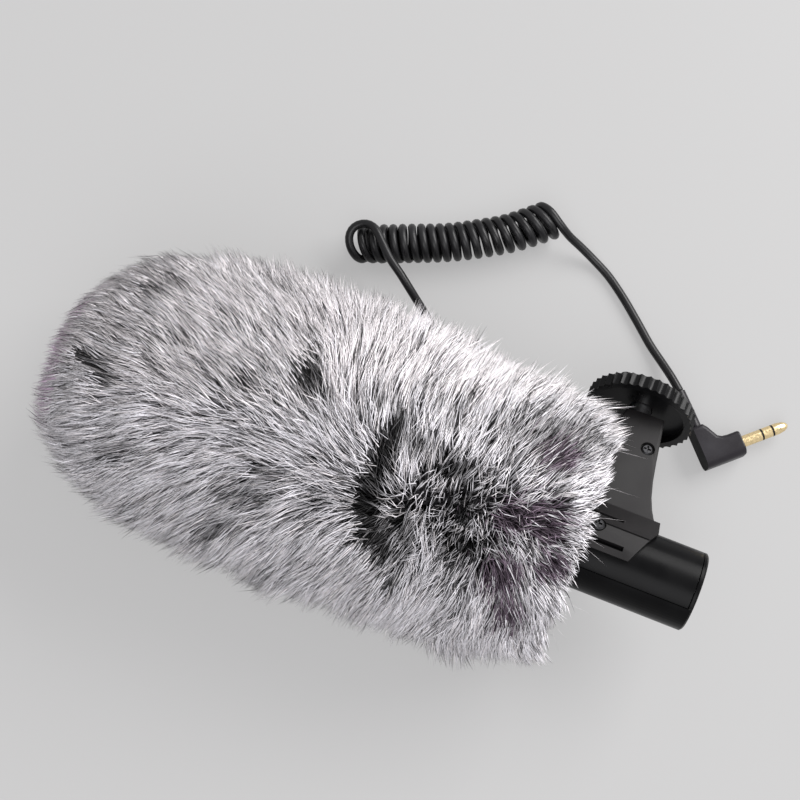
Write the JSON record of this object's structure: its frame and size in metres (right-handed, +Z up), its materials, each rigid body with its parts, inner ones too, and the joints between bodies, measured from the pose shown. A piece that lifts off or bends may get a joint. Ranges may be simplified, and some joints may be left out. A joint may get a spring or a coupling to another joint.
{
  "type": "furry windscreen",
  "caption": "Long-fur windscreen slipped over a camera-mount shotgun microphone with a shoe mount, lock ring, coiled cord and angled plug, lying on its side.",
  "frame": {"origin": "on the surface it lies on, under the middle of the box round everything but the free cord", "axes": "+X along the barrel towards its tail, +Y towards the shoe and the cord, +Z up"},
  "size_m": [0.2061, 0.1457, 0.0714],
  "materials": {
    "fur": "long synthetic fur, grey-white tips over dark roots",
    "elastic": "gathered black cloth",
    "lining": "thin acoustic cloth",
    "foam": "open-cell foam",
    "rubber": "soft black rubber",
    "barrel": "satin black",
    "mount": "fine matt grain",
    "ring": "matt black",
    "steel": "plain",
    "black_screw": "blackened",
    "board": "solder mask",
    "battery": "plain dark wrap",
    "cord": "satin black",
    "plug": "moulded, dark purple-grey",
    "gold": "polished gold plate"
  },
  "bodies": {
    "microphone": {"interference_tube": "barrel", "tube_liner": "lining", "front_grille": "barrel", "capsule_holder": "rubber", "capsule": "steel", "barrel_shell": "barrel", "circuit_board": "board", "battery_contact": "steel", "battery_spring": "steel", "battery": "battery", "power_switch": "rubber", "gain_switch": "rubber", "mount_half_left": "mount", "mount_half_right": "mount", "saddle_screw_left": "black_screw", "saddle_screw_right": "black_screw", "fin_screw_rear": "black_screw", "fin_screw_front": "black_screw", "strain_relief": "cord", "shoe_stem": "steel", "shoe_foot": "mount", "foot_screw": "steel", "cord_lead": "cord", "cord_coil": "cord", "cord_tail": "cord", "plug_body": "plug", "plug_sleeve": "gold", "plug_band_rear": "cord", "plug_ring": "gold", "plug_band_front": "cord", "plug_tip": "gold"},
    "foam": {"foam_windscreen": "foam"},
    "fur": {"fur_cover": "fur", "elastic_hem": "elastic"},
    "battery_door": {"battery_door": "barrel", "door_contact": "steel"},
    "power_switch_knob": {"power_switch_knob": "mount"},
    "gain_switch_knob": {"gain_switch_knob": "mount"},
    "clamp_washer": {"clamp_washer": "rubber"},
    "lock_ring": {"lock_ring": "ring"}
  },
  "joints": [
    {"name": "foam_slide", "type": "slide", "parent": "microphone", "child": "foam", "axis": [-1, 0, 0], "range_m": [0, 0.125]},
    {"name": "fur_slide", "type": "slide", "parent": "foam", "child": "fur", "axis": [-1, 0, 0], "range_m": [0, 0.145], "deforming": ["elastic_hem"]},
    {"name": "battery_door_slide", "type": "slide", "parent": "microphone", "child": "battery_door", "axis": [1, 0, 0], "range_m": [0, 0.056]},
    {"name": "power_switch_slide", "type": "slide", "parent": "microphone", "child": "power_switch_knob", "axis": [1, 0, 0], "range_m": [0, 0.004]},
    {"name": "gain_switch_slide", "type": "slide", "parent": "microphone", "child": "gain_switch_knob", "axis": [1, 0, 0], "range_m": [0, 0.004]},
    {"name": "lock_ring_lift", "type": "slide", "parent": "microphone", "child": "clamp_washer", "axis": [0, -0.9563, 0.2924], "range_m": [0, 0.003]},
    {"name": "lock_ring_turn", "type": "hinge", "parent": "clamp_washer", "child": "lock_ring", "pos_m": [0.0664, 0.04099, 0.01587], "axis": [0, -0.9563, 0.2924], "range_deg": [0, 1080]}
  ],
  "couplings": [
    {"joint": "lock_ring_lift", "follows": "lock_ring_turn", "m_per_rad": 0.00015915}
  ]
}
